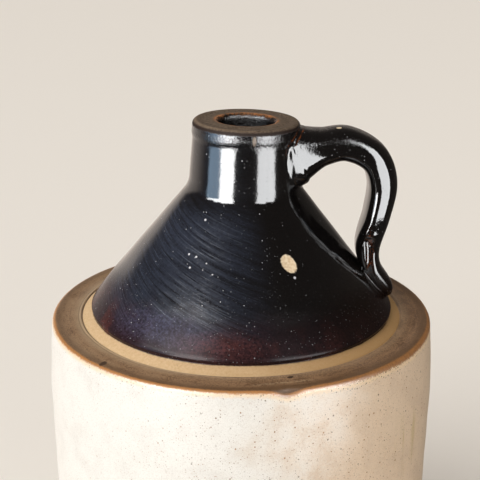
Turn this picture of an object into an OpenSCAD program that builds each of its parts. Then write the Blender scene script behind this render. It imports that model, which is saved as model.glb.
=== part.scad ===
// Stoneware shoulder jug, fired in one piece: a straight cream body with a flat ledge, a dark cone
// with a short neck, and a pulled strap handle from the neck to the foot of the cone.
// Millimetres. Z is up from the table, the body stands on the origin, the handle is on +X.

/* [Body] */
// Height of the shoulder ledge above the table
body_h = 176; // [120:1:230]
// Radius of the rim at the edge of the ledge
rim_r = 89; // [84:0.5:96]
// Rounding of the rim
rim_round = 2.4; // [1:0.1:4]
// Radius of the wall where it swells most
belly_r = 90.8; // [86:0.2:98]
// Depth below the ledge at which the wall swells most
belly_drop = 30; // [20:1:60]
// Radius of the wall just above the heel
heel_r = 88.4; // [84:0.2:94]
// Radius of the flat base
base_r = 84; // [70:0.5:84]
// Height of the rounded heel
heel_h = 5; // [3:0.5:10]
// Thickness of the wall
wall = 7; // [5:0.5:10]
// Thickness of the floor
floor_t = 9; // [6:0.5:14]
// Thickness of the shoulder under the ledge
shoulder_t = 8; // [6:0.5:12]

/* [Cone] */
// Outer radius of the bare ring round the foot of the cone
ring_r = 74.7; // [73:0.1:80]
// Height of the slip's lower edge above the ledge
ring_rise = 2.6; // [1:0.1:4]
// Radius of the slip's lower edge
slip_r = 69.8; // [66:0.1:72]
// Radius at which the flank would meet the upright foot of the cone
cone_r = 70.9; // [68:0.1:73]
// Height of that corner above the ledge
cone_foot_h = 4.4; // [3:0.1:8]
// Rounding of the foot of the cone
cone_round = 6.5; // [2:0.5:8]
// Thickness of the flank
cone_wall = 7; // [5:0.5:9]

/* [Neck and mouth] */
// Height of the lip above the ledge
lip_h = 91.5; // [85:0.1:110]
// Length of the neck, from the lip down to the corner with the flank
neck_len = 30.1; // [26:0.1:38]
// Radius of the neck at that corner
neck_foot_r = 25.7; // [23:0.1:30]
// Radius of the neck at the lip
neck_r = 23.7; // [21:0.1:28]
// Rounding between neck and flank
neck_round = 12.5; // [6:0.5:20]
// Rounding of the outer edge of the lip
lip_round = 1.2; // [0.5:0.1:3]
// Radius of the cylindrical throat that a cork seals in
bore_r = 12.5; // [9:0.1:14]
// Rounding of the mouth's edge
mouth_round = 2.3; // [0.5:0.1:3]
// Lean of cone, neck and handle towards the handle, in degrees
lean = 1.2; // [0:0.1:3]

/* [Handle] */
// Width of the strap
strap_w = 23; // [16:0.5:28]
// Thickness of the strap
strap_t = 12.5; // [9:0.1:15]
// Distance from the neck's axis to the outer face of the strap
reach = 69.7; // [66:0.1:78]
// Depth of the handle's crest below the lip
crest_drop = 2.4; // [0:0.1:8]
// Distance from the neck's axis to the crest
crest_x = 46; // [43:0.5:50]
// Depth below the lip at which the strap reaches furthest out
bend_drop = 27.5; // [24:0.5:34]
// Width of the root where the strap is luted to the neck
root_w = 33; // [28:0.5:36]
// Height of the root on the neck
root_t = 30; // [26:0.5:34]
// Depth of the root's middle below the lip
root_drop = 16.5; // [16:0.5:21]
// Height above the ledge at which a thumb pressed the strap in
press_h = 33.8; // [30:0.2:38]
// Level gap behind the strap at that height, which closes just below it
press_gap = 4.2; // [3:0.1:6]
// Width of the strap where it is pressed
press_w = 21; // [15:0.5:24]
// Height of the tail's tip above the ledge
tail_h = 7.2; // [5:0.2:9]
// Width of the tail half way down
tail_w = 19.5; // [12:0.5:22]
// Thickness of the tail half way down, sunk part included
tail_t = 9; // [7:0.5:12]

/* [Wear] */
// Direction of the nick in the rim, in degrees from the handle
nick_angle = -77.5; // [-120:0.5:-30]
// Radius of the nick's hollow
nick_r = 16; // [8:1:24]
// Depth of the nick below the rounded rim
nick_depth = 0.6; // [0.2:0.1:2]
// Direction of the chip in the cone, in degrees from the handle
chip_angle = -64.2; // [-90:0.2:-40]
// Height of the chip above the ledge
chip_h = 37.6; // [20:0.2:50]
// Radius of the chip's hollow
chip_r = 12; // [6:1:20]
// Depth of the chip
chip_depth = 0.6; // [0.2:0.1:1.5]

/* [Smoothness] */
// Sides of the strap's section
strap_sides = 24; // [16:4:32]
// Rings of the strap between two stations
strap_steps = 4; // [2:1:5]

/* [Hidden] */
$fn = 128;
arc_steps = 6;
eps = 0.01;
// Radius at which the ring's slope ends, hidden in the wall of the cone
seat_r = slip_r - 3;
// How far the cone's room reaches down into the body's, so that a lean leaves no web between them
room_overlap = 5;
// How far the handle's root starts inside the neck, and the point that its tail ends in
root_sink = 6;
tip = [2, 1.2];
flank_run = cone_r - neck_foot_r;
flank_rise = lip_h - neck_len - cone_foot_h;
flank_angle = atan2(flank_rise, flank_run);
// Level distance between the flank's outer and inner face
flank_in_x = cone_wall / sin(flank_angle);
chamber_top_h = flank_height(bore_r + flank_in_x);
// Power of the strap's rounded section, where 2 is an ellipse and more is squarer
strap_power = 2.5;

// Radius of the flank's straight line at a height above the ledge, and its height at a radius
function flank_radius(h) = cone_r - flank_run * (h - cone_foot_h) / flank_rise;
function flank_height(r) = cone_foot_h + flank_rise * (cone_r - r) / flank_run;

// A corner list is [radius, height, rounding]; each corner with a rounding becomes an arc
function unit(v) = v / norm(v);
function cut_back(a, b, c, f) =
    let (half = acos(max(-1, min(1, unit(a - b) * unit(c - b)))) / 2)
    min(f / tan(half), 0.48 * min(norm(a - b), norm(c - b)));
function corner_arc(a, b, c, f) =
    let (u = unit(a - b), v = unit(c - b),
         half = acos(max(-1, min(1, u * v))) / 2,
         back = cut_back(a, b, c, f), r = back * tan(half),
         centre = b + unit(u + v) * r / sin(half),
         from = b + u * back - centre, to = b + v * back - centre,
         turn = atan2(from.x * to.y - from.y * to.x, from * to))
    [for (i = [0:arc_steps])
        let (t = turn * i / arc_steps)
        centre + [from.x * cos(t) - from.y * sin(t), from.x * sin(t) + from.y * cos(t)]];
function flat(p) = [p.x, p.y];
function rounded(corners) =
    let (n = len(corners))
    [for (i = [0:n - 1])
        let (here = corners[i])
        each here.z > 0
            ? corner_arc(flat(corners[(i + n - 1) % n]), flat(here), flat(corners[(i + 1) % n]), here.z)
            : [flat(here)]];

// Smooth curve through a list of stations of any length, and the ring of points round one of them
function along(a, b, c, d, t) =
    0.5 * (2 * b + (c - a) * t + (2 * a - 5 * b + 4 * c - d) * t * t + (3 * b - a - 3 * c + d) * t * t * t);
function curve(s, steps) =
    let (n = len(s))
    [for (i = [0:n - 2], k = [0:steps - 1])
        along(s[max(i - 1, 0)], s[i], s[i + 1], s[min(i + 2, n - 1)], k / steps),
     s[n - 1]];
function power_cos(a) = sign(cos(a)) * pow(abs(cos(a)), 2 / strap_power);
function power_sin(a) = sign(sin(a)) * pow(abs(sin(a)), 2 / strap_power);
function strap_ring(s, before, after) =
    let (way = unit([after.x - before.x, after[1] - before[1]]), out = [-way.y, way.x])
    [for (i = [0:strap_sides - 1])
        let (a = 360 * i / strap_sides, p = [s[0], s[1]] + out * power_cos(a) * s[3] / 2)
        [p.x, power_sin(a) * s[2] / 2, p.y]];

module body_outline() {
    polygon(rounded([
        [0, 0, 0],
        [base_r, 0, 0],
        [heel_r, heel_h, heel_h],
        [belly_r, body_h - belly_drop, body_h],
        [rim_r, body_h, rim_round],
        [ring_r, body_h, 0],
        [seat_r, body_h + ring_rise * (ring_r - seat_r) / (ring_r - slip_r), 0],
        [seat_r, body_h, 0],
        [0, body_h, 0]
    ]));
}

module body_room() {
    polygon(rounded([
        [0, floor_t, 0],
        [heel_r - wall, floor_t, wall],
        [belly_r - wall, body_h - belly_drop, body_h],
        [rim_r - wall, body_h - shoulder_t, wall],
        [0, body_h - shoulder_t, 0]
    ]));
}

module cone_outline() {
    polygon(rounded([
        [0, -shoulder_t / 2, 0],
        [slip_r, -shoulder_t / 2, 0],
        [slip_r, ring_rise, 0],
        [cone_r, cone_foot_h, cone_round],
        [neck_foot_r, lip_h - neck_len, neck_round],
        [neck_r, lip_h, lip_round],
        [0, lip_h, 0]
    ]));
}

module cone_room() {
    foot = -shoulder_t - room_overlap;
    rotate_extrude() polygon([
        [0, foot],
        [flank_radius(foot) - flank_in_x, foot],
        [bore_r, chamber_top_h],
        [0, chamber_top_h]
    ]);
}

// The cylinder that a cork seals in, and the flare that rounds the mouth's edge
module throat() {
    flare = 3 * mouth_round;
    translate([0, 0, chamber_top_h - 1]) cylinder(r = bore_r, h = lip_h - chamber_top_h + 2);
    rotate_extrude() polygon(rounded([
        [0, lip_h - flare, 0],
        [bore_r, lip_h - flare, 0],
        [bore_r, lip_h + eps, mouth_round],
        [bore_r + flare, lip_h + eps, 0],
        [bore_r + flare, lip_h + 1, 0],
        [0, lip_h + 1, 0]
    ]));
}

// Width and thickness at a share of the way from the strap to its root
function flare(w_share, t_share) =
    [strap_w + (root_w - strap_w) * w_share, strap_t + (root_t - strap_t) * t_share];

module handle() {
    root_h = lip_h - root_drop;
    top = lip_h - crest_drop - strap_t / 2;
    out = reach - strap_t / 2;
    bend_h = lip_h - bend_drop;
    land = flank_radius(press_h) + press_gap + strap_t / 2;
    tail_mid = (press_h + tail_h) / 2;
    // Each station is [distance from the neck's axis, height, width, thickness]
    stations = [
        // The root, drawn in as it leaves the neck
        [neck_r - root_sink, root_h, root_w, root_t],
        concat([neck_r - 1.4, root_h + 1], flare(0.85, 0.885)),
        concat([neck_r + 2.6, root_h + 2.5], flare(0.55, 0.635)),
        concat([neck_r + 11.5, root_h + 5.1], flare(0.16, 0.217)),
        // The crest, thickest of the strap, and the shoulder outside it
        [crest_x, top - 1.2, strap_w, strap_t + 2.4],
        [out - 5.3, top - 7.1, strap_w, strap_t + 1.3],
        // The bend and the limb below it, slimmer as it was pulled
        [out - 0.5, bend_h, strap_w, strap_t + 1],
        [(out + land) / 2 + 0.65, (bend_h + press_h) / 2, strap_w, strap_t - 0.2],
        // The thumb press, and the tail smeared down the flank to a point
        [land, press_h, press_w, strap_t - 1.1],
        [flank_radius(tail_mid) + 2.3, tail_mid + 2.9, tail_w, tail_t],
        [flank_radius(tail_h) - 1.8, tail_h + 6.6, tail_w * 0.75, tail_t * 0.9],
        [flank_radius(tail_h) + 0.1, tail_h + 2.6, tail_w * 0.44, tail_t * 0.54],
        [flank_radius(tail_h) - 0.3, tail_h, tip.x, tip.y]
    ];
    path = curve(stations, strap_steps);
    n = len(path);
    rings = [for (i = [0:n - 1]) strap_ring(path[i], path[max(i - 1, 0)], path[min(i + 1, n - 1)])];
    points = [for (r = rings) each r];
    m = strap_sides;
    sides = [for (i = [0:n - 2], k = [0:m - 1])
        [i * m + k, i * m + (k + 1) % m, (i + 1) * m + (k + 1) % m, (i + 1) * m + k]];
    ends = [[for (k = [m - 1:-1:0]) k], [for (k = [0:m - 1]) (n - 1) * m + k]];
    polyhedron(points, concat(sides, ends), convexity = 6);
}

// A shallow hollow in the rounded rim
module nick() {
    off = (rim_round + nick_r - nick_depth) / sqrt(2) - rim_round;
    rotate([0, 0, nick_angle]) translate([rim_r + off, 0, body_h + off]) sphere(r = nick_r);
}

// A shallow hollow in the flank of the cone
module chip() {
    off = chip_r - chip_depth;
    rotate([0, 0, chip_angle])
        translate([flank_radius(chip_h) + off * sin(flank_angle), 0, chip_h + off * cos(flank_angle)])
            sphere(r = chip_r);
}

// Puts a form made above the ledge's centre onto the body, leaning towards the handle
module leaning() {
    translate([0, 0, body_h]) rotate([0, lean, 0]) children();
}

module jug() {
    difference() {
        union() {
            color("ivory") rotate_extrude() body_outline();
            color("#33201b") leaning() {
                rotate_extrude() cone_outline();
                handle();
            }
        }
        color("tan") {
            rotate_extrude() body_room();
            leaning() {
                cone_room();
                throat();
                chip();
            }
            nick();
        }
    }
}

jug();
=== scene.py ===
import math
from types import SimpleNamespace

import bmesh
import bpy
import numpy as np
from mathutils import Matrix, Vector
from mathutils.kdtree import KDTree


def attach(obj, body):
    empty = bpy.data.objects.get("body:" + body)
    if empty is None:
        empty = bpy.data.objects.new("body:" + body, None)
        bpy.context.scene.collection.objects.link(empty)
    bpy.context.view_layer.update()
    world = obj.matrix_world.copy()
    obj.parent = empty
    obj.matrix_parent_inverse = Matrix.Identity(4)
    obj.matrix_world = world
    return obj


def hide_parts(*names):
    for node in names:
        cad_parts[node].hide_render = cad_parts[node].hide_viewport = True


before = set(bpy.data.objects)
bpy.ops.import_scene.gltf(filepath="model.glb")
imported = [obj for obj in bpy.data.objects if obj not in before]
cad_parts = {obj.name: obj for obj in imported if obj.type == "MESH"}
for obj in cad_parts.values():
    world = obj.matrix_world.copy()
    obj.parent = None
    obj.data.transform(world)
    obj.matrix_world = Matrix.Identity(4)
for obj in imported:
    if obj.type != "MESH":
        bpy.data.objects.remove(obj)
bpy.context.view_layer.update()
mm = 0.001

body = {  # radii and heights above the table, in mm
    "ledge": 176.0,
    "rim": 89.0,
    "rimRound": 2.4,
    "belly": 90.8,
    "bellyHeight": 146.0,
    "heel": 88.4,
    "heelHeight": 5.0,
    "base": 84.0,
    "wall": 7.0,
    "floor": 9.0,
    "shoulder": 8.0,  # thickness under the ledge
    "columns": 220,
}

cone = {  # radii and heights above the ledge
    "ring": 74.7,
    "slip": 69.8,
    "slipHeight": 2.6,
    "foot": 70.9,
    "footHeight": 4.4,
    "footRound": 6.5,
    "wall": 7.0,
    "lean": math.radians(1.2),
    "leanFrom": 20.0,
}

neck = {
    "foot": 25.7,
    "footHeight": 61.4,
    "round": 12.5,
    "lip": 23.7,
    "lipHeight": 91.5,
    "lipRound": 1.2,
    "bore": 12.5,
    "mouthRound": 2.3,
    "collarFrom": 83.3,  # a low collar swells out between these heights
    "collarTo": 86.2,
    "collarOut": 0.55,
    "dish": 0.35,  # depth, radius and width of the hollow run round the lip's top
    "dishRadius": 19.4,
    "dishWidth": 1.9,
}

throwing = {  # what the thrower's hands left, in mm
    "oval": 0.22,  # how far the wall is out of round, in two lobes and in three, and its ribs
    "lobes": 0.12,
    "ribs": 0.06,
    "flankOval": 0.07,
    "flankRibs": 0.05,
    "collarOval": 0.35,  # how uneven the collar's lower edge is
    "collarWaves": 0.2,
    "groove": 0.4,  # depth of the line cut round the bare ring, with a ridge outside it
    "grooveWidth": 0.3,
    "grooveFrom": 0.35,
    "ridge": 0.25,
    "ridgeWidth": 0.45,
    "ridgeFrom": 0.9,
    "trough": 0.3,  # a shallow trough round the ledge
    "troughRadius": 82,
    "troughWidth": 3,
}

wear = {  # the nick in the rim and the large chip in the cone: round from the handle, in mm
    "nickAngle": math.radians(-77.5),
    "nickRadius": 16.0,
    "nickDepth": 0.9,
    "chipAngle": math.radians(-64.0),
    "chipHeight": 37.4,
    "chipRadius": 12.0,
    "chipDepth": 0.45,
}


def smooth(low, high, value):
    t = np.clip((value - low) / (high - low), 0, 1)
    return t * t * (3 - 2 * t)


def ridge(away, width):
    # 1 on the middle of a rounded ridge, and falling off over its width
    return np.exp(-((away / width) ** 2))


def roundedLine(corners):
    # Each corner is [radius, height, rounding, spacing of the rows that follow]
    points = []
    count = len(corners)
    for i, (radius, height, rounding, spacing) in enumerate(corners):
        here = np.array([radius, height])
        if 0 < i < count - 1 and rounding > 0:
            back = np.array(corners[i - 1][:2]) - here
            ahead = np.array(corners[i + 1][:2]) - here
            backLength, aheadLength = np.linalg.norm(back), np.linalg.norm(ahead)
            u, v = back / backLength, ahead / aheadLength
            half = math.acos(np.clip(u @ v, -1, 1)) / 2
            cut = min(rounding / math.tan(half), 0.48 * min(backLength, aheadLength))
            arcRadius = cut * math.tan(half)
            centre = here + (u + v) / np.linalg.norm(u + v) * arcRadius / math.sin(half)
            start, end = here + u * cut - centre, here + v * cut - centre
            turn = math.atan2(start[0] * end[1] - start[1] * end[0], start @ end)
            steps = max(3, math.ceil(abs(turn) * arcRadius / min(spacing, arcRadius / 3)))
            for t in np.linspace(0, turn, steps + 1):
                swing = np.array([[math.cos(t), -math.sin(t)], [math.sin(t), math.cos(t)]])
                points.append((centre + swing @ start, spacing))
        else:
            points.append((here, spacing))
    rows = [points[0][0]]
    for (a, spacing), (b, _) in zip(points, points[1:]):
        steps = max(1, round(np.linalg.norm(b - a) / spacing))
        rows += [a + (b - a) * k / steps for k in range(1, steps + 1)]
    return np.array(rows)


def flankRadius(height):
    # Radius of the cone's straight side at a height above the ledge
    run, rise = cone["foot"] - neck["foot"], neck["footHeight"] - cone["footHeight"]
    return cone["foot"] - run * (height - cone["footHeight"]) / rise


def jugProfile():
    # From the middle of the base, up the outside and down the inside to the floor
    ledge = body["ledge"]
    lip = ledge + neck["lipHeight"]
    run, rise = cone["foot"] - neck["foot"], neck["footHeight"] - cone["footHeight"]
    flankInside = cone["wall"] / math.sin(math.atan2(rise, run))
    ceiling = ledge - body["shoulder"]
    ceilingRadius = flankRadius(-body["shoulder"]) - flankInside
    chamberTop = ledge + cone["footHeight"] + rise * (cone["foot"] - neck["bore"] - flankInside) / run
    return roundedLine([
        [0, 0, 0, 12],
        [body["base"], 0, 0.8, 0.8],
        [body["heel"], body["heelHeight"], body["heelHeight"], 1.2],
        [body["belly"], body["bellyHeight"], 150, 3],
        [body["rim"], ledge, body["rimRound"], 0.7],
        [cone["ring"] + 2.5, ledge, 0, 0.25],
        [cone["ring"], ledge, 0, 0.5],
        [cone["slip"], ledge + cone["slipHeight"], 0.5, 0.4],
        [cone["foot"], ledge + cone["footHeight"], cone["footRound"], 1.25],
        [neck["foot"], ledge + neck["footHeight"], neck["round"], 0.75],
        [neck["lip"], lip, neck["lipRound"], 0.6],
        [neck["bore"], lip, neck["mouthRound"], 1.2],
        [neck["bore"], chamberTop, 5, 4],
        [ceilingRadius, ceiling, 3, 2],
        [body["rim"] - body["wall"], ceiling, 5, 5],
        [body["belly"] - body["wall"], body["bellyHeight"], 150, 5],
        [body["heel"] - body["wall"], body["floor"], body["wall"], 8],
        [0, body["floor"], 0, 8],
    ])


def revolve(rows, columns):
    # Rows run from the middle of the base, up the outside and down the inside to the floor
    angle = np.arange(columns) * 2 * math.pi / columns
    radius, height = rows[1:-1, 0][:, None], rows[1:-1, 1][:, None]
    grid = np.stack([radius * np.cos(angle), radius * np.sin(angle), height + 0 * angle], -1)
    points = np.concatenate([[[0, 0, rows[0, 1]]], grid.reshape(-1, 3), [[0, 0, rows[-1, 1]]]])
    count = len(rows) - 2
    faces = []
    for k in range(columns):
        following = (k + 1) % columns
        faces.append((0, 1 + following, 1 + k))
        top = 1 + (count - 1) * columns
        faces.append((top + k, top + following, len(points) - 1))
        for i in range(count - 1):
            low, high = 1 + i * columns, 1 + (i + 1) * columns
            faces.append((low + k, low + following, high + following, high + k))
    return points, faces


def hollow(points, centre, radius):
    # Presses what lies inside a ball out to the ball's surface
    away = points - centre
    length = np.linalg.norm(away, axis=1)
    inside = length < radius
    points[inside] = centre + away[inside] / length[inside, None] * radius


def throwingMarks(points):
    radius = np.hypot(points[:, 0], points[:, 1])
    angle = np.arctan2(points[:, 1], points[:, 0])
    height = points[:, 2] - body["ledge"]
    onWall = smooth(-4, -12, height) * smooth(6, 20, points[:, 2])
    swell = throwing["oval"] * np.cos(2 * angle + 0.7)
    swell += throwing["lobes"] * np.cos(3 * angle - 1.1 + height * 0.02)
    swell += throwing["ribs"] * np.sin(height * 0.31 + 0.8 * np.cos(angle))
    rise = onWall * swell
    lip = neck["lipHeight"]
    onNeck = (radius > neck["lip"] - 3) * smooth(lip - 0.2, lip - 1.6, height)
    uneven = throwing["collarOval"] * np.sin(2 * angle + 0.6)
    uneven += throwing["collarWaves"] * np.sin(5 * angle)
    rise += onNeck * neck["collarOut"] * smooth(neck["collarFrom"], neck["collarTo"], height + uneven)
    onFlank = smooth(6, 14, height) * smooth(neck["footHeight"] - 2, neck["footHeight"] - 12, height)
    swell = throwing["flankOval"] * np.cos(2 * angle + 2)
    swell += throwing["flankRibs"] * np.sin(height * 0.35 + angle)
    rise += onFlank * swell
    outside = np.maximum(radius, 1)
    points[:, 0] += rise * points[:, 0] / outside
    points[:, 1] += rise * points[:, 1] / outside
    onLip = np.abs(height - lip) < 0.05
    points[:, 2] -= onLip * neck["dish"] * ridge(radius - neck["dishRadius"], neck["dishWidth"])
    onLedge = smooth(0.6, 0.3, np.abs(height)) * (radius > cone["ring"] - 1) * (radius < body["rim"])
    away = radius - cone["ring"] - throwing["grooveFrom"] - 0.2 * np.sin(3 * angle)
    points[:, 2] -= onLedge * throwing["groove"] * ridge(away, throwing["grooveWidth"])
    beyond = away - throwing["ridgeFrom"]
    points[:, 2] += onLedge * throwing["ridge"] * ridge(beyond, throwing["ridgeWidth"])
    away = radius - throwing["troughRadius"] - np.sin(angle * 2)
    points[:, 2] -= onLedge * throwing["trough"] * ridge(away, throwing["troughWidth"])


def wearMarks(points):
    def press(side, out, up, radius):
        # The print of a ball that is pressed in from outside
        centre = np.array([out * math.cos(side), out * math.sin(side), body["ledge"] + up])
        hollow(points, centre, radius)

    off = body["rimRound"] + wear["nickRadius"] - wear["nickDepth"]
    toRim = off / math.sqrt(2) - body["rimRound"]
    press(wear["nickAngle"], body["rim"] + toRim, toRim, wear["nickRadius"])
    slope = math.atan2(neck["footHeight"] - cone["footHeight"], cone["foot"] - neck["foot"])
    off = wear["chipRadius"] - wear["chipDepth"]
    press(wear["chipAngle"], flankRadius(wear["chipHeight"]) + off * math.sin(slope),
          wear["chipHeight"] + off * math.cos(slope), wear["chipRadius"])


def leaned(points):
    # Cone, neck and handle lean towards the handle, more and more over the foot of the cone
    height = points[:, 2] - body["ledge"]
    tilt = cone["lean"] * smooth(0, cone["leanFrom"], height)
    moved = points.copy()
    moved[:, 0] = points[:, 0] * np.cos(tilt) + height * np.sin(tilt)
    moved[:, 2] = body["ledge"] - points[:, 0] * np.sin(tilt) + height * np.cos(tilt)
    return moved


strap = {  # stations are [distance from the neck's axis, height above the ledge, width, thickness]
    "stations": [
        [17.7, 75, 33, 30],
        [22.3, 76, 31, 28],
        [26.3, 77.5, 27.6, 23.6],
        [35.2, 80.1, 24.2, 16.3],
        [46, 81.65, 23, 14.9],
        [58.15, 75.75, 23, 13.8],
        [62.95, 64, 23, 13.5],
        [61.4, 48.9, 23, 12.3],
        [58.04, 33.8, 21, 11.4],
        [60.43, 23.4, 19.5, 9],
        [66.88, 13.8, 14.6, 8.1],
        [68.78, 9.8, 8.6, 4.9],
        [68.38, 7.2, 2, 1.2],
    ],
    "heart": [45, 62],  # a point in the finger loop
    "steps": 12,
    "sides": 56,
    "power": 2.8,
    "taper": 0.16,  # how much wider the strap is on its inner face, and narrower on its outer
    "taperAcross": [51, 62],  # the taper sets in between these, and is gone again low down
    "taperHeight": [16, 36],
}

thumb = {  # where a thumb and a finger pressed the strap home, on both of its sides
    "across": 57.4,
    "height": 38.5,
    "side": 10.9,  # half of the strap's width there
    "radius": 18.0,
    "depth": 0.7,
    "sideFrom": 3,  # the knob and the crease fade out towards the strap's middle
    "sideTo": 7,
    "knob": [58.2, 41.0],  # across and height of the clay that the thumb pushed up
    "knobSize": 2.2,
    "knobOut": 1.2,
    "creaseFoot": [58.6, 19.8],
    "creaseDepth": 1.7,
    "creaseWidth": 1.3,
}


def throughStations(stations, steps):
    # A smooth curve through all the stations
    s = np.array(stations, float)
    s = np.concatenate([s[:1], s, s[-1:]])
    path = []
    for a, b, c, d in zip(s, s[1:], s[2:], s[3:]):
        for t in np.arange(steps) / steps:
            path.append(0.5 * (2 * b + (c - a) * t + (2 * a - 5 * b + 4 * c - d) * t**2
                               + (3 * b - a - 3 * c + d) * t**3))
    return np.array(path + [s[-1]])


def strapMesh():
    path = throughStations(strap["stations"], strap["steps"])
    way = np.gradient(path[:, :2], axis=0)
    way /= np.linalg.norm(way, axis=1)[:, None]
    out = np.stack([-way[:, 1], way[:, 0]], -1)
    sides = strap["sides"]
    angle = np.arange(sides) * 2 * math.pi / sides
    across = np.sign(np.cos(angle)) * np.abs(np.cos(angle)) ** (2 / strap["power"])
    along = np.sign(np.sin(angle)) * np.abs(np.sin(angle)) ** (2 / strap["power"])
    strapOutside = 1 if out[len(out) // 2] @ (path[len(path) // 2, :2] - strap["heart"]) > 0 else -1
    points = []
    for (x, z, width, thickness), o in zip(path, out):
        taper = strap["taper"] * smooth(*strap["taperAcross"], x) * smooth(*strap["taperHeight"], z)
        wide = width / 2 * (1 - taper * across * strapOutside)
        points.append(np.stack([x + o[0] * across * thickness / 2, along * wide,
                                z + o[1] * across * thickness / 2], -1))
    points = np.concatenate(points)
    points[:, 2] += body["ledge"]
    rings = len(path)
    faces = [tuple(range(sides))[::-1], tuple((rings - 1) * sides + k for k in range(sides))]
    for i in range(rings - 1):
        for k in range(sides):
            low, high = i * sides, (i + 1) * sides
            following = (k + 1) % sides
            faces.append((low + k, low + following, high + following, high + k))
    return points, faces


def pressHome(points):
    head = np.array([thumb["across"], thumb["height"]])
    way = np.array(thumb["creaseFoot"]) - head
    for side in (-1, 1):
        out = thumb["side"] + thumb["radius"] - thumb["depth"]
        centre = np.array([head[0], side * out, body["ledge"] + head[1]])
        hollow(points, centre, thumb["radius"])
        flat = points[:, [0, 2]] - [0, body["ledge"]]
        fromKnob = np.linalg.norm(flat - thumb["knob"], axis=1)
        knob = ridge(fromKnob, thumb["knobSize"]) * thumb["knobOut"]
        share = np.clip((flat - head) @ way / (way @ way), 0, 1)
        fromCrease = np.linalg.norm(flat - head - share[:, None] * way, axis=1)
        crease = ridge(fromCrease, thumb["creaseWidth"]) * thumb["creaseDepth"]
        onSide = smooth(thumb["sideFrom"], thumb["sideTo"], side * points[:, 1])
        points[:, 1] += side * onSide * (knob - crease)


def makeObject(name, points, faces):
    mesh = bpy.data.meshes.new(name)
    mesh.from_pydata((points * mm).tolist(), [], faces)
    mesh.validate()
    made = bpy.data.objects.new(name, mesh)
    bpy.context.collection.objects.link(made)
    shape = bmesh.new()
    shape.from_mesh(mesh)
    if shape.calc_volume(signed=True) < 0:
        bmesh.ops.reverse_faces(shape, faces=shape.faces)
    shape.to_mesh(mesh)
    shape.free()
    return made


def luteTogether(jug, handle):
    # Joins the handle to the jug as one skin and returns that skin's mesh
    for made in (jug, handle):
        made.data.materials.append(bpy.data.materials.new(made.name))
    union = jug.modifiers.new("luted", "BOOLEAN")
    union.operation = "UNION"
    union.solver = "EXACT"
    union.material_mode = "TRANSFER"
    union.object = handle
    bpy.context.view_layer.update()
    evaluated = jug.evaluated_get(bpy.context.evaluated_depsgraph_get())
    mesh = bpy.data.meshes.new_from_object(evaluated)
    for made in (jug, handle):
        bpy.data.materials.remove(made.data.materials[0])
        bpy.data.objects.remove(made)
    return mesh


lute = {  # the seam between handle and jug, in mm
    "short": 0.3,  # edges beside the cut that are shorter are merged
    "reach": 3.2,  # how far from the cut the clay is smoothed, in how many passes and how strongly
    "passes": 24,
    "share": 0.6,
    "bead": 0.36,  # height, distance from the seam and width of the bead of clay beside it
    "beadAt": 1.7,
    "beadWidth": 0.7,
    "groove": 0.3,
    "grooveWidth": 0.8,
    "above": [70, 76],  # bead and groove set in between these heights, at the neck
}


def seamOf(shape):
    # The points where faces of the jug meet faces of the handle
    return [v for v in shape.verts if len({f.material_index for f in v.link_faces}) > 1]


def softenSeam(mesh):
    # Merges the slivers of the cut, smooths the clay on both sides of it, adds the bead and the
    # groove, and returns each point's distance from the seam
    shape = bmesh.new()
    shape.from_mesh(mesh)
    seam = seamOf(shape)
    near = set(seam)
    for v in seam:
        near.update(e.other_vert(v) for e in v.link_edges)
    bmesh.ops.remove_doubles(shape, verts=list(near), dist=lute["short"] * mm)
    bmesh.ops.dissolve_degenerate(shape, dist=0.05 * mm, edges=shape.edges)
    bmesh.ops.triangulate(shape, faces=[f for f in shape.faces if len(f.verts) > 4])
    twins = {}  # faces on the same points are folds of the cut, and go
    for f in shape.faces:
        twins.setdefault(frozenset(f.verts), []).append(f)
    flaps = [f for same in twins.values() if len(same) > 1 for f in same]
    bmesh.ops.delete(shape, geom=flaps, context="FACES")
    seam = seamOf(shape)
    tree = KDTree(len(seam))
    for i, v in enumerate(seam):
        tree.insert(v.co, i)
    tree.balance()
    shape.verts.ensure_lookup_table()
    distance = np.array([tree.find(v.co)[2] for v in shape.verts]) / mm
    place = np.array([v.co for v in shape.verts])
    pairs = np.array([[e.verts[0].index, e.verts[1].index] for e in shape.edges])
    weight = (smooth(lute["reach"], 0, distance) * lute["share"])[:, None]
    degree = np.bincount(pairs.ravel(), minlength=len(place))[:, None]
    for _ in range(lute["passes"]):
        total = np.zeros_like(place)
        np.add.at(total, pairs[:, 0], place[pairs[:, 1]])
        np.add.at(total, pairs[:, 1], place[pairs[:, 0]])
        place += (total / degree - place) * weight
    for v, p in zip(shape.verts, place):
        v.co = p
    shape.normal_update()
    height = place[:, 2] / mm - body["ledge"]
    bead = lute["bead"] * ridge(distance - lute["beadAt"], lute["beadWidth"])
    bead *= 0.7 + 0.3 * np.sin(height * 1.3) + 0.25 * np.sin(height * 2.9 + 1)
    bead -= lute["groove"] * ridge(distance, lute["grooveWidth"])
    bead *= smooth(*lute["above"], height)
    for v, out in zip(shape.verts, bead * mm):
        v.co += v.normal * out
    for f in shape.faces:
        f.material_index = 0
        f.smooth = True
    shape.to_mesh(mesh)
    shape.free()
    return distance


def addAttribute(mesh, name, values):
    attribute = mesh.attributes.new(name, "FLOAT", "POINT")
    attribute.data.foreach_set("value", np.asarray(values, np.float32))


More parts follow.
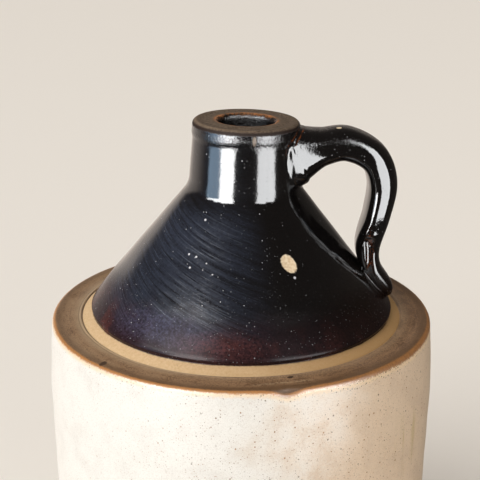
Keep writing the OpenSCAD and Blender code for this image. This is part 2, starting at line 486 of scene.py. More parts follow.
def insideShare(mesh):
    # 1 on the skin of the hollow, from the throat down, and 0 outside
    place = np.empty(len(mesh.vertices) * 3)
    mesh.vertices.foreach_get("co", place)
    place = place.reshape(-1, 3) / mm
    radius = np.hypot(place[:, 0], place[:, 1])
    height = place[:, 2] - body["ledge"]
    skinDepth = 3  # well inside the outside, and well outside the hollow
    limit = np.where(height < -body["shoulder"] / 2, body["heel"], flankRadius(height)) - skinDepth
    onNeck = height > neck["footHeight"] - 14
    limit = np.where(onNeck, np.minimum(limit, neck["lip"] - 4), limit)
    between = (place[:, 2] > body["floor"] - 1) * (height < neck["lipHeight"] - 2)
    return smooth(0, -1, radius - limit) * between


print("shaping the jug")
thrownPoints, thrownFaces = revolve(jugProfile(), body["columns"])
throwingMarks(thrownPoints)
wearMarks(thrownPoints)
thrown = makeObject("thrown", leaned(thrownPoints), thrownFaces)
pulledPoints, pulledFaces = strapMesh()
pressHome(pulledPoints)
pulled = makeObject("pulled", leaned(pulledPoints), pulledFaces)
skin = luteTogether(thrown, pulled)
print("faces after luting", len(skin.polygons))
seamDistance = softenSeam(skin)
skin.name = "stonewareJug"
jug = bpy.data.objects.new("stonewareJug", skin)
bpy.context.collection.objects.link(jug)
addAttribute(skin, "seamDistance", seamDistance)
addAttribute(skin, "inside", insideShare(skin))
print("faces of the jug", len(skin.polygons))


class Wire:  # one output of a shader node, which sums like a number
    def __init__(self, graph, socket):
        self.graph = graph
        self.socket = socket

    def __add__(self, other):
        return self.graph.maths("ADD", self, other)

    def __radd__(self, other):
        return self.graph.maths("ADD", other, self)

    def __sub__(self, other):
        return self.graph.maths("SUBTRACT", self, other)

    def __rsub__(self, other):
        return self.graph.maths("SUBTRACT", other, self)

    def __mul__(self, other):
        return self.graph.maths("MULTIPLY", self, other)

    def __rmul__(self, other):
        return self.graph.maths("MULTIPLY", other, self)

    def __truediv__(self, other):
        return self.graph.maths("DIVIDE", self, other)

    def __rtruediv__(self, other):
        return self.graph.maths("DIVIDE", other, self)


class Graph:  # adds nodes to one material
    def __init__(self, tree):
        self.tree = tree

    def add(self, kind, settings=None, values=None, output=0):
        node = self.tree.nodes.new(kind)
        for name, value in (settings or {}).items():
            setattr(node, name, value)
        for name, value in (values or {}).items():
            if isinstance(value, Wire):
                self.tree.links.new(value.socket, node.inputs[name])
            else:
                node.inputs[name].default_value = value
        return Wire(self, node.outputs[output]) if node.outputs else None

    def maths(self, operation, *values):
        return self.add("ShaderNodeMath", {"operation": operation}, dict(enumerate(values)))

    def vector(self, operation, first, second, output=0):
        return self.add("ShaderNodeVectorMath", {"operation": operation}, {0: first, 1: second}, output)

    def axis(self, place, name):
        return self.add("ShaderNodeSeparateXYZ", {}, {"Vector": place}, name)

    def join(self, x, y, z):
        return self.add("ShaderNodeCombineXYZ", {}, {"X": x, "Y": y, "Z": z})

    def fade(self, low, high, value):
        # 0 below low and 1 above high, or the other way round where low is the larger
        return self.add("ShaderNodeMapRange", {"interpolation_type": "SMOOTHSTEP"},
                        {"Value": value, "From Min": low, "From Max": high, "To Min": 0, "To Max": 1})

    def band(self, low, high, soft, value):
        # 1 between low and high
        return self.fade(low - soft, low + soft, value) * self.fade(high + soft, high - soft, value)

    def bell(self, centre, width, value):
        off = (value - centre) / width
        return self.maths("EXPONENT", off * off * -1)

    def noise(self, place, scale, detail=3, roughness=0.55):
        return self.add("ShaderNodeTexNoise", {},
                        {"Vector": place, "Scale": scale, "Detail": detail, "Roughness": roughness})

    def blend(self, factor, first, second):
        # The colour sockets of a Mix node are its inputs 6 and 7 and its output 2
        values = {0: factor, 6: self.paint(first), 7: self.paint(second)}
        return self.add("ShaderNodeMix", {"data_type": "RGBA", "clamp_factor": True}, values, 2)

    def paint(self, colour):
        return colour if isinstance(colour, Wire) else (*colour, 1)

    def dots(self, place, scale, size, share):
        # Round spots in a share of the cells, each with its own size; scale is in cells per mm
        cell = {"Vector": place, "Scale": scale, "Randomness": 1}
        distance = self.add("ShaderNodeTexVoronoi", {}, cell, "Distance")
        colour = self.add("ShaderNodeTexVoronoi", {}, cell, "Color")
        chance = self.add("ShaderNodeSeparateColor", {}, {"Color": colour}, "Red")
        big = self.fade(1 - share, 1, chance) * size + size * 0.3
        return self.fade(big, big * 0.55, distance) * self.fade(1 - share - 0.001, 1 - share, chance)

    def spot(self, place, centre, first, second, ragged, soft=0.1):
        # 1 inside the ellipse with the half axes first and second, in mm, and a ragged edge
        off = self.vector("SUBTRACT", place, tuple(centre))
        along = self.vector("DOT_PRODUCT", off, tuple(first / (first @ first)), "Value")
        across = self.vector("DOT_PRODUCT", off, tuple(second / (second @ second)), "Value")
        away = self.maths("SQRT", along * along + across * across)
        return self.fade(1 + soft, 1 - soft, away + ragged)


def srgb(red, green, blue):
    # Linear colour of a tone given as 0 to 255
    def one(c):
        c /= 255
        return c / 12.92 if c <= 0.04045 else ((c + 0.055) / 1.055) ** 2.4
    return one(red), one(green), one(blue)


def surfaceOf(g):
    # Where a point of the jug lies, in mm, with the lean of cone and neck taken out
    place = g.vector("MULTIPLY", g.add("ShaderNodeTexCoord", {}, {}, "Object"), (1000, 1000, 1000))
    across, y, z = g.axis(place, "X"), g.axis(place, "Y"), g.axis(place, "Z")
    rise = z - body["ledge"]
    lean = g.fade(0, cone["leanFrom"], rise) * math.sin(cone["lean"])
    x = across - rise * lean
    return SimpleNamespace(
        place=place, x=x, y=y, z=z, up=rise + across * lean,
        radius=g.maths("SQRT", x * x + y * y),
        side=g.maths("ARCTAN2", x, 0 - y),  # radians round from the front, towards the handle
        seam=g.add("ShaderNodeAttribute", {"attribute_name": "seamDistance"}, {}, "Fac"),
        inside=g.add("ShaderNodeAttribute", {"attribute_name": "inside"}, {}, "Fac"),
        cloud=g.noise(place, 0.022, 3),
        blotch=g.noise(place, 0.09, 4),
        grain=g.noise(place, 0.9, 4, 0.6),
        fine=g.noise(place, 1.9, 2, 0.6),
    )


def onCone(degrees, height):
    # A point of the cone's outside, with the ways round and up along its surface
    side, out = math.radians(degrees), flankRadius(height)
    place = [out * math.sin(side), -out * math.cos(side), body["ledge"] + height]
    run, rise = cone["foot"] - neck["foot"], neck["footHeight"] - cone["footHeight"]
    around = np.array([math.cos(side), math.sin(side), 0])
    upward = np.array([-math.sin(side) * run, math.cos(side) * run, rise]) / math.hypot(run, rise)
    return leaned(np.array([place]))[0], around, upward


def onLedge(degrees, radius):
    # A point of the ledge, with the ways round and outward
    side = math.radians(degrees)
    around = np.array([math.cos(side), math.sin(side), 0])
    outward = np.array([math.sin(side), -math.cos(side), 0])
    return outward * radius + [0, 0, body["ledge"]], around, outward


creamGlaze = {
    "cream": srgb(238, 236, 231),
    "warm": srgb(227, 204, 178),
    "grey": srgb(186, 182, 176),
    "peach": srgb(220, 188, 154),
    "yellow": srgb(196, 172, 112),
    "speck": srgb(92, 66, 42),
    "rust": srgb(160, 110, 60),
    "warming": (-8, 56),  # from cream to warm between these distances towards the handle
    "mottling": 0.4,  # shares of peach in blotches and in freckles, of grey and of dark grains
    "freckling": 0.3,
    "greying": 0.14,
    "graining": 0.18,
    "yellowing": 0.75,
    "yellowSide": (0.82, 1.05),  # the yellow runs: radians round from the front, and heights
    "yellowHeight": (-56, -30),
    "largeSpecks": (0.5, 0.18, 0.55),  # cells per mm, size and share of the cells
    "smallSpecks": (1.1, 0.25, 0.5),
    "roughness": 0.34,
}


def creamWall(g, at):
    tones = creamGlaze
    toHandle = at.x + (at.blotch - 0.5) * 34 + (at.cloud - 0.5) * 50
    colour = g.blend(g.fade(*tones["warming"], toHandle), tones["cream"], tones["warm"])
    mottle = g.fade(0.47, 0.62, at.blotch * 0.5 + at.grain * 0.5) * g.fade(4, 40, toHandle)
    colour = g.blend(mottle * tones["mottling"], colour, tones["peach"])
    freckle = g.fade(0.56, 0.72, at.fine) * g.fade(-40, 45, toHandle)
    colour = g.blend(freckle * tones["freckling"], colour, tones["peach"])
    runs = g.noise(g.join(at.side * 30, at.up * 0.03, 0), 0.6, 3)
    inRuns = g.band(*tones["yellowSide"], 0.1, at.side) * g.band(*tones["yellowHeight"], 7, at.up)
    colour = g.blend(g.fade(0.5, 0.66, runs) * inRuns * tones["yellowing"], colour, tones["yellow"])
    colour = g.blend(g.fade(0.45, 0.7, at.blotch) * tones["greying"], colour, tones["grey"])
    colour = g.blend(g.fade(0.4, 0.8, at.fine) * tones["graining"], colour, tones["speck"])
    large, small = g.dots(at.place, *tones["largeSpecks"]), g.dots(at.place, *tones["smallSpecks"])
    specks = g.maths("MAXIMUM", large, small * 0.8)
    crowd = (0.3 + 0.7 * g.fade(-70, 10, toHandle)) * (0.4 + 0.6 * g.fade(0.35, 0.5, at.blotch))
    speckTone = g.blend(g.fade(0.45, 0.6, at.blotch), tones["speck"], tones["rust"])
    return g.blend(specks * crowd, colour, speckTone), specks


ledgeGlaze = {
    "brown": srgb(150, 116, 84),
    "dark": srgb(96, 68, 44),
    "pale": srgb(178, 152, 120),
    # outer: painted shade on the ledge before the rim, and the darker brown in the nick
    "outer": srgb(100, 72, 46),
    "ochre": srgb(190, 130, 72),
    "ochreDark": srgb(132, 88, 46),
    "straw": srgb(238, 210, 172),
    "burnt": srgb(56, 36, 22),
    "inner": (80.5, 76),  # the ledge is paler inside these radii, more so on the lit left as painted light, and darker outside the next as painted shade before the rim
    "rimward": (82.8, 85.8),
    "grit": (0.55, 0.2, 0.3),
    "rimSpecks": (1.0, 0.3, 0.6),
    "strawShare": 0.8,
    "nickDrop": 2.4,  # how far the nick draws the brown down over the rim, in mm
    "widerRight": 1.6,  # how much wider the ochre band is towards the handle
    "roughness": 0.36,
}


def brownLedge(g, at):
    tones = ledgeGlaze
    around = g.join(at.x / at.radius * 6, at.y / at.radius * 6, at.radius * 0.8)
    streaks = g.noise(around, 1.0, 4, 0.6)
    # Painted light: the ledge is painted lighter, and paler near the ring, towards the lit left
    litLeft = g.fade(15, -70, at.x)
    tone = (streaks - 0.5) * 0.8 + (at.blotch - 0.5) * 0.7 + (at.grain - 0.5) + (at.fine - 0.5) * 1.6
    colour = g.blend(g.fade(-0.3, 0.3, tone + litLeft * 0.2), tones["dark"], tones["brown"])
    colour = g.blend(litLeft * g.fade(-0.3, 0.5, tone) * 0.5, colour, tones["pale"])
    pale = g.fade(*tones["inner"], at.radius + (streaks - 0.5) * 5) * (0.25 + litLeft * 0.5)
    colour = g.blend(pale, colour, tones["pale"])
    # Painted shade: the ledge's outer zone before the rim is painted darker, less so on the lit left
    edge = at.radius + (at.blotch - 0.5) * 2.2 + (at.grain - 0.5) * 1.2
    colour = g.blend(g.fade(*tones["rimward"], edge) * (0.75 - litLeft * 0.3), colour, tones["outer"])
    # Two fine dark lines of painted shade round the bare ring, in its groove and beyond its ridge, with
    # a pale line of painted light on the ridge between them
    foot = at.radius - cone["ring"] + (at.blotch - 0.5) * 0.9
    shadeLines = g.bell(0.5, 0.28, foot) * g.fade(45, 0, at.x) + g.bell(2.1, 0.2, foot) * 0.5 * litLeft
    colour = g.blend(shadeLines * 0.8, colour, tones["burnt"])
    colour = g.blend(g.bell(1.25, 0.35, foot) * litLeft * 0.7, colour, tones["pale"])
    grit = g.dots(at.place, *tones["grit"]) * (0.15 + g.fade(-10, 60, at.x) * 0.6)
    return g.blend(grit, colour, tones["burnt"])


def rimGlaze(g, at, ledgeColour, wallColour):
    # From the ledge over the rounded rim to the wall: across is the distance over the rim, in mm
    tones = ledgeGlaze
    nickSide = wear["nickAngle"] + math.pi / 2
    across = at.radius - body["rim"] - at.up + (at.blotch - 0.5) * 0.8
    across = across - g.bell(nickSide, 0.075, at.side) * tones["nickDrop"]
    toRight = g.fade(0.15, 0.6, at.side)
    loose = (at.grain - 0.5) * 5 + (at.fine - 0.5) * 5 * (0.5 + toRight)
    darker = g.fade(0.3, 0.75, at.grain) * 0.5 + toRight * 0.45
    ochre = g.blend(darker, tones["ochre"], tones["ochreDark"])
    colour = g.blend(g.fade(-2.0, -0.8, across + loose * 0.25), ledgeColour, ochre)
    straw = g.blend(tones["strawShare"], wallColour, tones["straw"])
    end = across - toRight * tones["widerRight"]
    colour = g.blend(g.fade(-0.1, 1.4, end + loose * 0.5), colour, straw)
    colour = g.blend(g.fade(1.2, 3.6, end + loose * 0.6), colour, wallColour)
    inNick = g.bell(nickSide - 0.02, 0.03, at.side) * g.band(-4, 1, 1, across)
    colour = g.blend(inNick * 0.6, colour, tones["outer"])
    specks = g.dots(at.place, *tones["rimSpecks"]) * g.band(0.6, 3.6, 0.6, end)
    return g.blend(specks * (0.55 + toRight * 0.35), colour, tones["burnt"]), g.fade(0, 2, end)


ringClay = {
    "pale": srgb(217, 186, 146),
    "tan": srgb(198, 162, 114),
    # shade: painted shade on the ring's darker side, and its darker grains
    "shade": srgb(158, 120, 72),
    "grit": srgb(96, 66, 40),
    "roughness": 0.85,
}


def bareRing(g, at):
    tones = ringClay
    colour = g.blend(g.fade(0.35, 0.7, at.grain) * 0.5, tones["pale"], tones["tan"])
    # Painted shade: the ring is painted darker towards the handle side, away from the light
    colour = g.blend(g.fade(-50, 70, at.x + (at.blotch - 0.5) * 20) * 0.85, colour, tones["shade"])
    colour = g.blend(g.fade(0.55, 0.75, at.fine) * 0.3, colour, tones["shade"])
    return g.blend(g.dots(at.place, 0.6, 0.16, 0.12) * 0.8, colour, tones["grit"])


darkSlip = {
    "black": srgb(14, 12, 12),
    "brown": srgb(24, 18, 12),
    # hazeAndSheen and scratchGlint are painted sheen: window light scattered by the rubbed, scratched
    # glaze
    "hazeAndSheen": srgb(44, 49, 62),
    "scratchGlint": srgb(92, 102, 120),
    "plum": srgb(60, 38, 43),
    "red": srgb(92, 50, 46),
    # lavenderSheen: painted sheen of window light on the dull foot of the cone
    "lavenderSheen": srgb(82, 82, 108),
    "dust": srgb(206, 206, 212),
    "break": srgb(128, 66, 28),
    "roughness": 0.06,
    "dryFrom": (26, 14),  # the glaze is dull below these heights
    "sheenPatch": (-32, 12.5, 24, 6.5),  # degrees from the front, height, half width and height
    "redPatch": (-7.4, 9.4, 15, 5),
    "dustGrains": (0.9, 0.2, 0.06),
    "fineDust": (1.8, 0.26, 0.12),
    "notch": (5.3, -23.6, 87.2),  # a pale run in the collar: its place, half height and half width
    "notchHigh": 2.2,
    "notchWide": 0.8,
    "specks": [  # degrees round from the front, height above the ledge and half its width
        (-31.3, 52.5, 0.55), (-33.2, 39.3, 0.5), (-28.0, 39.0, 0.45), (-29.5, 34.8, 0.5),
        (-20.8, 37.3, 0.35), (-16.0, 33.7, 0.35), (27.1, 32.3, 0.6),
    ],
}


def rubbedHazeAndSheen(g, at, colour):
    # Rubbed glaze with fine scratches, which run up to the left over the cone's front left: rougher
    # there, with a bluish haze and pale scratch lines painted on as sheen
    tones = darkSlip
    along = at.side * at.radius * 0.93 - at.up * 0.47
    over = at.side * at.radius * 0.37 + at.up * 1.18
    hair = g.noise(g.join(along * 0.06, over * 2.0, at.radius * 0.02), 1.0, 4, 0.65)
    brushed = g.noise(g.join(along * 0.035, over * 0.5, 0), 1.0, 4, 0.65)
    rubbed = g.fade(0.35, -0.35, at.side) * g.fade(-1.7, -1.15, at.side) * g.fade(4, 16, at.up)
    rubbed = rubbed * (g.fade(60, 48, at.up) * 0.8 + 0.2)
    hazeAndSheen = rubbed * g.fade(0.1, 0.8, brushed + (at.cloud - 0.5) * 0.5)
    # Painted sheen: the bluish haze and the pale scratch lines stand in for window light scattered by
    # the rubbed glaze
    colour = g.blend(hazeAndSheen * 1.2, colour, tones["hazeAndSheen"])
    scratches = g.fade(0.52, 0.72, hair) * rubbed
    return g.blend(scratches * 0.32, colour, tones["scratchGlint"]), hazeAndSheen, scratches


def footBloom(g, at, leftward, colour):
    # Plum and red crystals in the dry glaze at the foot of the cone, and a lavender patch of painted
    # sheen
    tones = darkSlip
    low = g.fade(24, 4, at.up + (at.blotch - 0.5) * 22)
    crystals = 0.45 + g.fade(0.3, 0.7, at.fine * 0.6 + at.grain * 0.4) * 0.7
    mottled = g.fade(0.3, 0.7, at.grain * 0.6 + at.blotch * 0.4)
    reddish = low * g.fade(0.5, 0.64, at.blotch * 0.6 + at.cloud * 0.4)
    paintedSheen = g.spot(at.place, *patchOnCone(*tones["sheenPatch"]), (at.blotch - 0.5) * 1.6, 0.5)
    redPatch = g.spot(at.place, *patchOnCone(*tones["redPatch"]), (at.blotch - 0.5) * 1.4, 0.7)
    colour = g.blend(low * (0.2 + leftward * 0.5) * crystals, colour, tones["plum"])
    colour = g.blend(reddish * (0.15 + leftward * 0.6) * crystals, colour, tones["red"])
    # Painted sheen: the lavender patch stands in for window light scattered by the dull foot glaze
    colour = g.blend(paintedSheen * (0.05 + mottled * 0.6) * crystals, colour, tones["lavenderSheen"])
    colour = g.blend(redPatch * (0.1 + mottled * 0.7) * crystals, colour, tones["red"])
    return g.blend(g.fade(0.62, 0.3, at.grain) * 0.35, colour, tones["black"])


def thinEdges(g, at, colour):
    # Brown where the glaze is thin: along the seam at the neck, in the thumb's crease, and in a notch
    tones = darkSlip
    patchy = g.fade(0.5, 0.62, at.blotch * 0.6 + at.grain * 0.4)
    seam = g.bell(1.5, 0.35, at.seam) * g.fade(76, 82, at.up) * patchy
    colour = g.blend(seam * 0.8, colour, tones["break"])
    head = np.array([thumb["across"], thumb["height"] + 5])
    foot = np.array(thumb["creaseFoot"])
    middle, half = (head + foot) / 2, (foot - head) / 2
    centre = [middle[0] + 0.8, -8, body["ledge"] + middle[1]]
    long, short = np.array([half[0], 0, half[1]]), np.array([-half[1], 0, half[0]]) * 0.17
    crease = g.spot(at.place, centre, long, short, (at.grain - 0.5) * 1.5, 0.4) * g.fade(0, -4, at.y)
    broken = g.fade(0.5, 0.62, at.grain * 0.6 + at.fine * 0.4)
    colour = g.blend(crease * broken * 0.7, colour, tones["break"])
    x, y, height = tones["notch"]
    high, wide = np.array([0, 0, tones["notchHigh"]]), np.array([tones["notchWide"], 0, 0])
    notch = g.spot(at.place, [x, y, body["ledge"] + height], high, wide, (at.fine - 0.5) * 0.8, 0.4)
    notch = notch * g.fade(20, 22, at.radius) * g.fade(0, -5, at.y)
    return g.blend(notch * 0.7, colour, lipClay["worn"])


def coneSlip(g, at):
    tones = darkSlip
    colour = g.blend(g.fade(25, 60, at.x) * g.fade(40, 8, at.up), tones["black"], tones["brown"])
    colour, hazeAndSheen, scratches = rubbedHazeAndSheen(g, at, colour)
    leftward = g.fade(0.9, -0.5, at.side)
    colour = footBloom(g, at, leftward, colour)
    fineDust = g.dots(at.place, *tones["fineDust"]) * g.fade(36, 6, at.up) * 0.7
    dust = g.dots(at.place, *tones["dustGrains"]) + fineDust
    colour = g.blend(dust * (0.3 + leftward * 0.5), colour, tones["dust"])
    colour = g.blend(marksOn(g, at), colour, tones["dust"])
    colour = thinEdges(g, at, colour)
    footDry = g.fade(*tones["dryFrom"], at.up + (at.blotch - 0.5) * 5)
    onNeck = g.fade(58, 64, at.up) * g.fade(30, 26, at.radius)
    worn = hazeAndSheen * 0.1 + scratches * 0.12 + footDry * 0.15 + onNeck * 0.05
    return colour, worn, scratches, footDry


def patchOnCone(degrees, height, halfWidth, halfHeight):
    centre, around, upward = onCone(degrees, height)
    return centre, around * halfWidth, upward * halfHeight


def marksOn(g, at):
    # The larger single specks of dust on the cone
    dust = None
    for degrees, height, half in darkSlip["specks"]:
        centre = onCone(degrees, height)[0]
        distance = g.vector("DISTANCE", at.place, tuple(centre), "Value")
        grain = g.fade(half * 1.2, half * 0.7, distance + (at.fine - 0.5) * half)
        dust = grain if dust is None else dust + grain
    return dust


lipClay = {
    "brown": srgb(118, 102, 86),
    "dark": srgb(64, 50, 40),
    "side": srgb(40, 26, 19),
    # worn: paler clay; on the lip's outer edge at the left it is painted light
    "worn": srgb(136, 116, 96),
    # ochre: the thin glaze at the mouth's edge, painted bright as a glint
    "ochre": srgb(196, 126, 74),
    "from": 89.3,  # height above the ledge at which the glaze ends
    "roughness": 0.5,
}


def bareLip(g, at):
    tones = lipClay
    onLip = g.fade(tones["from"] - 0.4, tones["from"] + 0.3, at.up + (at.grain - 0.5) * 1.6)
    onLip = onLip * g.fade(27.5, 26, at.radius) * g.fade(1.5, 3, at.seam)
    topside = g.fade(neck["lipHeight"] - 1.2, neck["lipHeight"] - 0.4, at.up)
    speckled = g.fade(0.36, 0.66, at.grain * 0.5 + at.fine * 0.5)
    colour = g.blend(topside, tones["side"], g.blend(speckled, tones["brown"], tones["dark"]))
    # Painted light: the lip's outer edge is painted paler on the lit left; the mouth's edge is a little
    # paler all round
    edge = g.bell(22.9, 0.7, at.radius) * g.fade(10, -16, at.x) + g.bell(15.4, 0.7, at.radius) * 0.4
    colour = g.blend(edge * g.fade(0.35, 0.55, at.blotch + at.grain * 0.2) * 0.4, colour, tones["worn"])
    throat = g.fade(14.4, 13.4, at.radius + (at.grain - 0.5) * 1.2)
    colour = g.blend(throat, colour, darkSlip["black"])
    # The mouth's edge is ochre where the glaze is thin, and painted bright there as a painted glint
    ochreBreakAndGlint = g.bell(14.0, 0.8, at.radius) * g.fade(0.4, 0.6, at.blotch * 0.5 + at.grain * 0.5)
    return g.blend(ochreBreakAndGlint * 0.9, colour, tones["ochre"]), onLip, onLip * (1 - throat)


marks = {
    "chipPale": srgb(236, 216, 184),
    "chipShade": srgb(212, 184, 146),
    "chipRoughness": 0.75,
    "chipHalves": (4.4, 3.2),
    "chipTilt": math.radians(20),
    "smallChip": (43.5, -2.9, 89),  # on top of the handle
    "pit": (-43.1, 85.3),  # on the ledge: degrees round from the front, and radius
    "pitHalves": (2.3, 1.1),
    "speck": (15.1, 77.5),
    "speckHalves": (1.3, 0.9),
    "scuff": (12.5, 81.2),
    "scuffHalves": (15, 0.9),
}


def chipMark(g, at):
    # The large chip in the cone's glaze and the small one on top of the handle
    degrees = math.degrees(wear["chipAngle"]) + 90
    centre, around, upward = onCone(degrees, wear["chipHeight"])
    tilt = marks["chipTilt"]
    long = upward * math.cos(tilt) - around * math.sin(tilt)
    short = around * math.cos(tilt) + upward * math.sin(tilt)
    longHalf, shortHalf = marks["chipHalves"]
    big = g.spot(at.place, centre, long * longHalf, short * shortHalf, (at.grain - 0.5) * 0.35)
    big = big * g.fade(-8, -12, at.y) * g.fade(10, 14, at.up)
    x, y, height = marks["smallChip"]
    long, short = np.array([1.2, 0, 0]), np.array([0, 0.9, 0.5])
    small = g.spot(at.place, [x, y, body["ledge"] + height], long, short, (at.fine - 0.5) * 0.3)
    return g.maths("MAXIMUM", big, small * g.fade(80, 84, at.up))


def ledgeMarks(g, at, colour):
    # A dark pit by the rim, a speck beside the ring, and pale scratches between them
    onTop = g.fade(-5, -3, at.up)
    centre, around, outward = onLedge(*marks["pit"])
    longHalf, shortHalf = marks["pitHalves"]
    long, short = (outward + around * 0.5) * longHalf, (around - outward * 0.5) * shortHalf
    pit = g.spot(at.place, centre, long, short, (at.grain - 0.5) * 1.1)
    colour = g.blend(pit * onTop * 0.8, colour, ledgeGlaze["burnt"])
    centre, around, outward = onLedge(*marks["speck"])
    longHalf, shortHalf = marks["speckHalves"]
    speck = g.spot(at.place, centre, around * longHalf, outward * shortHalf, (at.fine - 0.5) * 0.8)
    colour = g.blend(speck * onTop * 0.9, colour, ledgeGlaze["burnt"])
    centre, around, outward = onLedge(*marks["scuff"])
    longHalf, shortHalf = marks["scuffHalves"]
    long, short = (around * 0.995 + outward * 0.1) * longHalf, outward * shortHalf
    scuff = g.spot(at.place, centre, long, short, (at.blotch - 0.5) * 1.4)
    return g.blend(scuff * onTop * g.fade(0.4, 0.65, at.grain) * 0.6, colour, ledgeGlaze["pale"])


finish = {  # heights in mm, and shares of the dull finish
    "ior": 1.52,
    "dullSpecular": 0.06,
    "wallDull": 0.75,
    "chipDull": 0.8,
    "throatDull": 0.85,
    "undulation": 0.06,
    "peel": 0.02,  # how uneven the gloss is everywhere, at the collar and in the mouth
    "collarPeel": 0.24,
    "mouthPeel": 0.4,
    "pits": 0.03,
    "sand": 0.1,
    "ledgeGrain": 0.03,
    "scratches": 0.002,
}


def stonewareGlazes():
    material = bpy.data.materials.new("stonewareGlazes")
    material.use_nodes = True
    material.node_tree.nodes.clear()
    g = Graph(material.node_tree)
    at = surfaceOf(g)
    outside = 1 - at.inside
    wallColour, wallSpecks = creamWall(g, at)
    rimColour, onWall = rimGlaze(g, at, brownLedge(g, at), wallColour)
    slipColour, worn, scratches, footDry = coneSlip(g, at)
    lipColour, onLip, dryLip = bareLip(g, at)

    # Where each finish lies
    wobble = (at.blotch - 0.5) * 1.2 + (at.grain - 0.5) * 0.7
    ring = g.fade(cone["ring"] + 0.3, cone["ring"], at.radius) * g.fade(-1, -0.2, at.up)
    onSlip = g.fade(cone["slipHeight"] - 0.4, cone["slipHeight"] + 0.1, at.up + wobble * 0.4)
    onSlip = g.maths("MAXIMUM", onSlip, at.inside)
    onRing = ring * (1 - onSlip)
    onWall = onWall * outside * (1 - onSlip) * (1 - ring)
    onBase = g.fade(2.2, 1.2, at.z + (at.blotch - 0.5) * 1.5) * outside
    chip = chipMark(g, at)

    colour = g.blend(ring, rimColour, bareRing(g, at))
    colour = g.blend(onSlip, colour, g.blend(onLip, slipColour, lipColour))
    colour = g.blend(onBase, colour, ringClay["pale"])
    chipColour = g.blend(g.fade(0.35, 0.65, at.grain), marks["chipPale"], marks["chipShade"])
    colour = ledgeMarks(g, at, g.blend(chip, colour, chipColour))

    rough = ledgeGlaze["roughness"] + (at.grain - 0.5) * 0.25
    slipRough = darkSlip["roughness"] + worn * outside + dryLip * lipClay["roughness"]
    for share, roughness in ((onRing, ringClay["roughness"]), (onWall, creamGlaze["roughness"]),
                             (onSlip, slipRough), (onBase, ringClay["roughness"]),
                             (chip, marks["chipRoughness"])):
        rough = rough * (1 - share) + share * roughness

    inMouth = g.fade(17.5, 14.5, at.radius) * g.fade(60, 80, at.up)
    peel = g.bell(86.5, 3.2, at.up) * outside * finish["collarPeel"] + inMouth * finish["mouthPeel"]
    waves = (g.noise(at.place, 0.17, 1) - 0.5) * finish["undulation"]
    waves = waves + (g.noise(at.place, 1.1, 3) - 0.5) * (peel + finish["peel"])
    pits = (g.dots(at.place, 0.9, 0.2, 0.3) * onSlip + wallSpecks * onWall) * finish["pits"]
    sand = (onRing + dryLip * 0.5 + chip * 0.5) * (at.fine - 0.5) * finish["sand"]
    sand = sand + (1 - onSlip) * (at.grain - 0.5) * finish["ledgeGrain"]
    relief = waves + sand - pits - scratches * finish["scratches"]
    bump = g.add("ShaderNodeBump", {}, {"Strength": 1, "Distance": mm, "Height": relief})

    dull = onRing + onWall * finish["wallDull"] + onSlip * (footDry + dryLip) * outside + onBase
    throat = g.fade(14.2, 13.6, at.radius) * g.fade(89.9, 88.7, at.up)
    for share in (chip * finish["chipDull"], throat * finish["throatDull"]):
        dull = g.maths("MAXIMUM", dull, share)
    surface = {"Base Color": colour, "Roughness": rough, "Normal": bump, "IOR": finish["ior"]}
    glossy = g.add("ShaderNodeBsdfPrincipled", {}, surface)
    surface["Specular IOR Level"] = finish["dullSpecular"]
    matt = g.add("ShaderNodeBsdfPrincipled", {}, surface)
    mixed = g.add("ShaderNodeMixShader", {}, {0: dull, 1: glossy, 2: matt})
    g.add("ShaderNodeOutputMaterial", {}, {"Surface": mixed})
    return material


def plainMaterial(name, colour, roughness):
    material = bpy.data.materials.new(name)
    material.use_nodes = True
    shader = material.node_tree.nodes["Principled BSDF"]
    shader.inputs["Base Color"].default_value = (*colour, 1)
    shader.inputs["Roughness"].default_value = roughness
    return material


skin.materials.clear()
skin.materials.append(stonewareGlazes())
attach(jug, "root")
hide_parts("jug")
print("the jug is glazed")

studio = {
    "floorSize": 40.0,
    "floor": srgb(242, 235, 226),
    "sky": 0.6,  # how bright the room is for matt surfaces, and how much brighter on the window's side
    "skyLean": 0.35,
    "skyTint": srgb(250, 247, 243),
    "gloom": 0.09,  # the dark room that the glaze mirrors, with a pale band low down behind
    "glow": 0.99,
    "glowTint": srgb(244, 230, 218),
    "keyTurn": math.radians(-48),
    "keyRise": math.radians(38),
    "keySpread": math.radians(50),
    "keyStrength": 1.6,
    "keyColour": (1, 0.99, 0.97),
    "windowsAway": 1.2,
    "windows": [  # degrees from the camera's side, low and high ends and width in m, radiance, colour
        ("leftWindow", -37.2, -0.1, 1.35, 0.616, 28, (1, 1, 1)),
        ("leftWindowHigh", -58.7, 0.86, 1.2, 0.31, 24, (0.96, 0.98, 1)),
        ("leftWindowEnd", -73, 0.86, 0.98, 0.31, 24, (0.96, 0.98, 1)),
        ("leftWindowLow", -65.8, -0.1, 0.86, 0.61, 5.3, (0.52, 0.75, 1)),
        ("rightWindow", 36, -0.36, 1.2, 0.47, 15.5, (0.98, 0.99, 1)),
        ("rightWindowEnd", 55, -0.36, 0.98, 0.33, 15.5, (0.98, 0.99, 1)),
    ],
}


def layFloor():
    # Pale paper, which the glaze doesn't mirror and which lets the low windows through
    half = studio["floorSize"] / 2
    points = np.array([(-half, -half, 0), (half, -half, 0), (half, half, 0), (-half, half, 0)])
    sheet = makeObject("floor", points / mm, [(0, 1, 2, 3)])
    sheet.data.materials.append(plainMaterial("palePaper", studio["floor"], 0.9))
    sheet.visible_glossy = False
    sheet.visible_shadow = False


def addLamp(light, place, target):
    lamp = bpy.data.objects.new(light.name, light)
    bpy.context.collection.objects.link(lamp)
    lamp.location = place
    lamp.rotation_euler = (target - place).to_track_quat("-Z", "Y").to_euler()
    return lamp


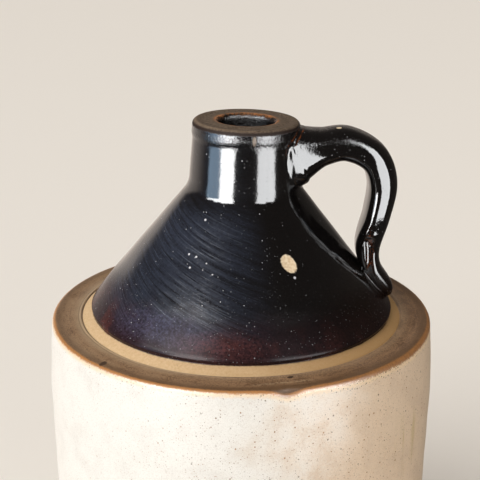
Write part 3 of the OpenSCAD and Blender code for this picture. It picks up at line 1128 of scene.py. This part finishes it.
def addWindow(name, turn, low, high, wide, radiance, colour):
    # An upright pane that only the gloss mirrors, and that faces the jug's axis
    pane = bpy.data.lights.new(name, "AREA")
    pane.shape = "RECTANGLE"
    pane.size, pane.size_y = wide, high - low
    pane.energy = radiance * math.pi * wide * (high - low)
    pane.color = colour
    side, away = math.radians(turn), studio["windowsAway"]
    place = Vector((math.sin(side) * away, -math.cos(side) * away, (low + high) / 2))
    addLamp(pane, place, Vector((0, 0, place.z))).visible_diffuse = False


def keyWay():
    turn, rise = studio["keyTurn"], studio["keyRise"]
    return Vector((math.sin(turn) * math.cos(rise), -math.cos(turn) * math.cos(rise), math.sin(rise)))


def addKey():
    # The broad light from the windows, for matt surfaces alone
    key = bpy.data.lights.new("key", "SUN")
    key.energy = studio["keyStrength"]
    key.angle = studio["keySpread"]
    key.color = studio["keyColour"]
    addLamp(key, keyWay() * 2, Vector((0, 0, 0))).visible_glossy = False


layFloor()
addKey()
for window in studio["windows"]:
    addWindow(*window)


def roomAir():
    # Matt surfaces see a pale room, and the gloss a dark one
    air = bpy.data.worlds.new("roomAir")
    air.use_nodes = True
    g = Graph(air.node_tree)
    way = g.add("ShaderNodeTexCoord", {}, {}, "Generated")
    toKey = keyWay().xy.normalized()
    lean = g.vector("DOT_PRODUCT", way, (*toKey, 0), "Value")
    sky = studio["sky"] + lean * studio["skyLean"]
    glow = g.fade(0.28, 0.1, g.axis(way, "Z")) * g.fade(-0.1, 0.5, g.axis(way, "Y"))
    glow = glow * g.fade(0.5, -0.3, g.axis(way, "X")) * studio["glow"]
    gloss = g.add("ShaderNodeLightPath", {}, {}, "Is Glossy Ray")
    light = sky * (1 - gloss) + (glow + studio["gloom"]) * gloss
    back = air.node_tree.nodes["Background"]
    air.node_tree.links.new(light.socket, back.inputs["Strength"])
    tint = g.blend(gloss, studio["skyTint"], studio["glowTint"])
    air.node_tree.links.new(tint.socket, back.inputs["Color"])
    bpy.context.scene.world = air


roomAir()

view = {  # fitted to the photograph: metres and degrees, and the focal length in pixels of its 480
    "place": (-0.000717, -0.48103, 0.37355),
    "down": math.radians(18.767),
    "roll": math.radians(0.264),
    "focal": 1088,
    "frame": 480,
    "sensor": 36,
}


def addCamera():
    lens = bpy.data.cameras.new("camera")
    lens.sensor_width = view["sensor"]
    lens.lens = view["focal"] / view["frame"] * view["sensor"]
    lens.clip_start = 0.01
    camera = bpy.data.objects.new("camera", lens)
    bpy.context.collection.objects.link(camera)
    down, roll = view["down"], view["roll"]
    ahead = Vector((0, math.cos(down), -math.sin(down)))
    right, above = Vector((1, 0, 0)), Vector((0, math.sin(down), math.cos(down)))
    across = right * math.cos(roll) + above * math.sin(roll)
    upward = above * math.cos(roll) - right * math.sin(roll)
    turn = Matrix((across, upward, -ahead)).transposed().to_4x4()
    camera.matrix_world = Matrix.Translation(view["place"]) @ turn
    bpy.context.scene.camera = camera


addCamera()
bpy.context.scene.view_settings.view_transform = "Standard"
print("the studio is lit")
